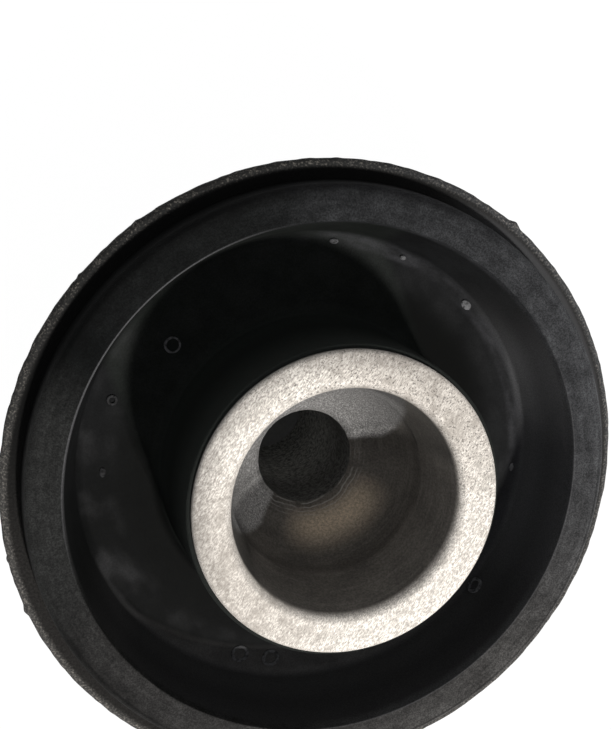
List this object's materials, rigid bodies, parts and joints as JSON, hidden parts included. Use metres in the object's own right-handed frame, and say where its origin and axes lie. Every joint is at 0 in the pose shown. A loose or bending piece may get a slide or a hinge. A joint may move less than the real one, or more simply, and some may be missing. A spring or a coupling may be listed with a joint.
{
  "type": "flanged rubber-metal bush",
  "caption": "Flanged rubber-metal bush: a cupped steel sleeve with a bolt hole, held in moulded rubber inside a short flanged steel tube.",
  "frame": {"origin": "on the axis of the bush, in the lower end face of the inner sleeve", "axes": "+Z along the axis of the bush, towards the flanged end with the cupped mouth"},
  "size_m": [0.085, 0.085, 0.05],
  "materials": {
    "bare_steel": "shot-blasted forged steel, matt and grainy",
    "coated_steel": "thin black coating, worn to grey metal along the rim",
    "rubber": "moulded black rubber, dusty grey on the pad"
  },
  "bodies": {
    "root": {"inner_sleeve": "bare_steel", "flanged_tube": "coated_steel", "rubber_body": "rubber"}
  },
  "joints": []
}
